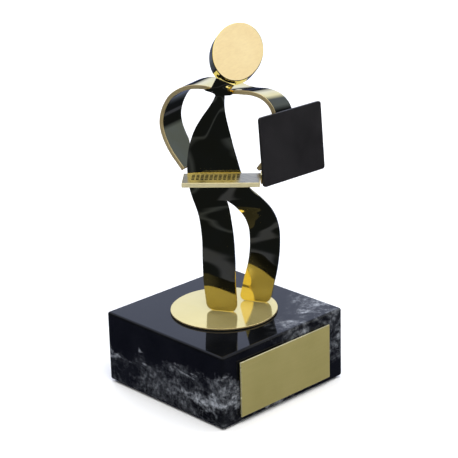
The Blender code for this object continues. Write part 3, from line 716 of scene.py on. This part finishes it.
def build_lid(lacquer, screen_glass):
    """The laptop's lid with a recess on its far side, and the screen that sits in it."""
    half = LID_THICKNESS / 2
    lid = rounded_panel("laptop_lid_fine", LID_WIDTH, LID_HEIGHT, -half, half, LID_CORNER_ROUND,
                        [lacquer], LID_BEVEL)
    width, height = LID_WIDTH - 2 * SCREEN_MARGIN, LID_HEIGHT - 2 * SCREEN_MARGIN
    recess = box_shape((-width / 2, half - SCREEN_DEPTH, -height / 2),
                       (width / 2, half + SCREEN_DEPTH, height / 2))
    cutter = cut_with(lid, "screen_recess", to_mesh("screen_recess", recess), lid_matrix())
    bake_modifiers(lid, [cutter])
    finished(lid, ["laptop_lid"])
    screen = rounded_panel("laptop_screen", width - SCREEN_PLAY, height - SCREEN_PLAY,
                           half - SCREEN_DEPTH + SCREEN_FLOOR_GAP, half - SCREEN_SET_BACK,
                           SCREEN_CORNER_ROUND, [screen_glass], SCREEN_BEVEL)
    finished(screen, [])


def build_plinth(stone):
    """The stone block with its stud hole and the counterbore for the nut."""
    low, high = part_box("marble_plinth")
    plinth = place_object("plinth_stone", to_mesh("plinth_stone", box_shape(low, high)), [stone])
    add_bevel(plinth, PLINTH_BEVEL, 6)
    top, bottom = high.z, low.z
    cutters = []
    for k, (radius, floor, ceiling, sides) in enumerate((
            (STUD_HOLE_RADIUS, bottom - MM, top + MM, 48),
            (COUNTERBORE_RADIUS, bottom - MM, bottom + COUNTERBORE_DEPTH, 96))):
        drill = bmesh.new()
        bmesh.ops.create_cone(drill, cap_ends=True, segments=sides, radius1=radius,
                              radius2=radius, depth=ceiling - floor)
        cutters.append(cut_with(plinth, f"bore_{k}", to_mesh(f"bore_{k}", drill),
                                Matrix.Translation((0, 0, (ceiling + floor) / 2))))
    bake_modifiers(plinth, cutters)
    add_weighted_normals(plinth)
    finished(plinth, ["marble_plinth"])


def build_felt(material):
    low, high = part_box("base_felt")
    pad = place_object("felt_pad", to_mesh("felt_pad", box_shape(low, high)), [material])
    add_bevel(pad, FELT_BEVEL)
    finished(pad, ["base_felt"])


def build_disc(top_brass, edge_brass):
    low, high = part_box("brass_disc")
    radius = (high.x - low.x) / 2
    soft = DISC_EDGE_ROUND
    profile = [(0, low.z), (radius - soft, low.z)]
    for k in range(1, 6):
        angle = math.radians(90 * k / 6)
        profile.append((radius - soft + soft * math.sin(angle),
                        low.z + soft - soft * math.cos(angle)))
    for k in range(0, 7):
        angle = math.radians(90 * k / 6)
        profile.append((radius - soft + soft * math.cos(angle),
                        high.z - soft + soft * math.sin(angle)))
    profile.append((0, high.z))
    disc = lathe("disc_top", profile, 256, [top_brass, edge_brass])
    for polygon in disc.data.polygons:
        polygon.material_index = 0 if abs(polygon.normal.z) > 0.9 else 1
    finished(disc, ["brass_disc"])


def build_nameplate(face, rim):
    low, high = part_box("nameplate")
    plate = place_object("nameplate_blank", to_mesh("nameplate_blank", box_shape(low, high)),
                         [face, rim])
    edges = add_bevel(plate, NAMEPLATE_BEVEL)
    edges.material = 1
    bake_modifiers(plate)
    finished(plate, ["nameplate"])


# ---------------------------------------------------------------- stage, lights, camera
CAMERA_AZIMUTH, CAMERA_ELEVATION, CAMERA_ROLL = -43.55, 20.32, -1.52
CAMERA_TARGET, CAMERA_DISTANCE = Vector((0.005184, 0.0, 0.086286)), 0.91791
CAMERA_SENSOR, CAMERA_LENS = 36.0, 135.12
BEYOND_X, BEYOND_Y = 0.689, 0.725   # level, from the camera on past the figure
LIGHT_TARGET = (0, 0, 0.1)
FLOOR_HALF_SIZE = 8.0


def build_floor():
    """A plain pale floor that the metal and the stone don't mirror."""
    material, n, shader, place = new_material("studio_floor", 0.0)
    tone = n.noise(place, 3.0, 2.0)
    wire(n, shader, n.ramp(tone, [(0.0, (0.93, 0.93, 0.93)), (1.0, (0.95, 0.95, 0.95))]))
    shader.inputs["Roughness"].default_value = 0.9
    shader.inputs["Specular IOR Level"].default_value = 0.1
    shape = bmesh.new()
    bmesh.ops.create_grid(shape, x_segments=1, y_segments=1, size=FLOOR_HALF_SIZE)
    floor = place_object("floor", to_mesh("floor", shape), [material])
    floor.visible_glossy = False


def build_world():
    """What the polished metal mirrors, laid out by direction as seen from the camera.

    A bright sky lies overhead and beyond the figure, and reaches lower on the right. The
    room in front is dark, with two faint bands, and there is dusk low beyond the figure and
    to the right. The camera itself sees plain white.
    """
    world = bpy.data.worlds.new("studio")
    bpy.context.scene.world = world
    world.use_nodes = True
    n = Nodes(world.node_tree)
    background = world.node_tree.nodes["Background"]
    direction = n.add("ShaderNodeTexCoord").outputs["Generated"]
    x, y, z = n.add("ShaderNodeSeparateXYZ", Vector=direction).outputs
    behind = n.math("MULTIPLY_ADD", x, BEYOND_X, n.math("MULTIPLY", y, BEYOND_Y))
    side = n.math("MULTIPLY_ADD", x, BEYOND_Y, n.math("MULTIPLY", y, -BEYOND_X))
    dark = (0.006, 0.008, 0.018)
    haze = (0.036, 0.044, 0.115)
    glow = (0.032, 0.041, 0.10)
    dusk = (0.09, 0.12, 0.27)
    share = n.spread(z, -1.0, 1.0, 0.0, 1.0)
    front = n.ramp(share, [(0.0, dark), (0.27, dark), (0.285, haze), (0.315, haze),
                           (0.33, dark), (0.545, dark), (0.585, glow), (0.625, dark),
                           (1.0, dark)])
    low_behind = n.math("MULTIPLY", n.spread(behind, 0.70, 0.85, 0.0, 1.0),
                        n.spread(z, -0.20, -0.05, 1.0, 0.0))
    low_room = n.mix(low_behind, front, dusk)
    height = n.math("MULTIPLY_ADD", behind, 0.5, z)
    height = n.math("SUBTRACT", height, n.spread(side, -0.70, -0.35, 0.45, 0.0))
    amount = n.math("MULTIPLY", n.spread(height, 0.02, 0.22, 0.0, 1.0),
                    n.spread(z, 0.0, 0.12, 0.0, 1.0))
    cool = n.spread(behind, -0.2, 0.6, 0.0, 1.0)
    sky = n.mix(cool, (1.16, 1.14, 1.07), (0.82, 0.91, 1.22))
    beside = n.math("MULTIPLY", n.spread(side, 0.34, 0.48, 0.0, 1.0),
                    n.spread(z, 0.60, 0.74, 1.0, 0.0))
    beside = n.math("MULTIPLY", beside, n.spread(behind, 0.0, 0.25, 0.0, 1.0))
    room = n.mix(amount, low_room, n.mix(beside, sky, dusk))
    path = n.add("ShaderNodeLightPath")
    seen = n.mix(path.outputs["Is Camera Ray"], room, (1.0, 1.0, 1.0))
    world.node_tree.links.new(seen, background.inputs["Color"])


def area_light(name, place, size, power):
    """A round light that the metal doesn't mirror."""
    data = bpy.data.lights.new(name, "AREA")
    data.shape = "DISK"
    data.size = size
    data.energy = power
    light = bpy.data.objects.new(name, data)
    bpy.context.scene.collection.objects.link(light)
    light.location = place
    aim = Vector(LIGHT_TARGET) - Vector(place)
    light.rotation_mode = "QUATERNION"
    light.rotation_quaternion = aim.to_track_quat("-Z", "Y")
    light.visible_glossy = False
    light.visible_camera = False


def build_camera():
    """The product view: a long lens to the figure's front, a little above it."""
    azimuth, elevation = math.radians(CAMERA_AZIMUTH), math.radians(CAMERA_ELEVATION)
    roll = math.radians(CAMERA_ROLL)
    back = Vector((math.sin(azimuth) * math.cos(elevation),
                   -math.cos(azimuth) * math.cos(elevation), math.sin(elevation)))
    level = Vector((0, 0, 1)).cross(back).normalized()
    rise = back.cross(level)
    across = level * math.cos(roll) + rise * math.sin(roll)
    up = rise * math.cos(roll) - level * math.sin(roll)
    data = bpy.data.cameras.new("camera")
    data.sensor_width = CAMERA_SENSOR
    data.lens = CAMERA_LENS
    camera = bpy.data.objects.new("camera", data)
    bpy.context.scene.collection.objects.link(camera)
    camera.matrix_world = (Matrix.Translation(CAMERA_TARGET + back * CAMERA_DISTANCE)
                           @ Matrix((across, up, back)).transposed().to_4x4())
    bpy.context.scene.camera = camera


# ---------------------------------------------------------------- assembly
polished = mirror_brass("brass_mirror")
soft_edge = mirror_brass("brass_soft_edge", 0.10)
cut_edge = satin_brass("brass_cut_edge", (0.84, 0.66, 0.32), (0.95, 0.78, 0.42), (0, 0, 0),
                       (300.0, 300.0, 900.0), 0.42, 0.55, 0.000015, 0.8)
face_brass = satin_brass("brass_head_face", (0.84, 0.66, 0.36), (1.0, 0.83, 0.49),
                         (0.5, 0.3, 0.9), (60.0, 800.0, 800.0), 0.34, 0.46, 0.000016, 0.85)
disc_brass = satin_brass("brass_disc_top", (0.85, 0.71, 0.28), (0.90, 0.76, 0.33), (0, 0, 0.6),
                         (420.0, 90.0, 420.0), 0.08, 0.12, 0.000003, 0.72)
keyboard_edge = satin_brass("brass_keyboard_edge", (0.74, 0.65, 0.36), (0.86, 0.77, 0.46),
                            (0, 0, 0.82), (120.0, 500.0, 500.0), 0.32, 0.45, 0.00001, 0.35)
plate_brass = satin_brass("brass_plate", (0.42, 0.365, 0.125), (0.49, 0.425, 0.165), (0, 0, 0),
                          (60.0, 60.0, 2400.0), 0.42, 0.55, 0.000008, 0.45)
plate_rim = satin_brass("brass_plate_rim", (0.80, 0.74, 0.50), (0.92, 0.86, 0.62), (0, 0, 0),
                        (200.0, 200.0, 200.0), 0.2, 0.3, 0.000005, 0.7)
keyboard_top = satin_brass("brass_keyboard_top", (0.20, 0.19, 0.14), (0.62, 0.56, 0.40),
                           (0, 0, 0.82), (500.0, 120.0, 500.0), 0.2, 0.42, 0.00003, 1.0)
lacquer = black_lacquer()
stone = marble()
steel = zinc_steel()

build_plinth(stone)
build_felt(felt())
build_disc(disc_brass, cut_edge)
build_nameplate(plate_brass, plate_rim)
build_body([polished, soft_edge])
build_hoop([polished, cut_edge])
build_head(face_brass, polished)
build_keyboard(keyboard_top, keyboard_edge,
               dark_enamel("key_enamel_fine", (0.008, 0.008, 0.008), 0.2))
build_lid(lacquer, dark_enamel("screen_glass", (0.004, 0.005, 0.007), 0.08))
# these nodes keep their CAD shape and only change material
for node, material in (("fixing_stud", steel), ("fixing_washer", steel), ("fixing_nut", steel),
                       ("plate_adhesive", clear_film()), ("lid_bracket", polished)):
    for material_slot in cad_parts[node].material_slots:
        material_slot.material = material

build_floor()
build_world()
area_light("overhead", (-0.3, -0.5, 1.3), 0.9, 9.0)
area_light("fill", (0.9, -0.7, 0.9), 0.7, 5.0)
area_light("back", (0.2, 1.0, 1.0), 0.8, 6.0)
build_camera()
bpy.context.scene.view_settings.view_transform = "Standard"
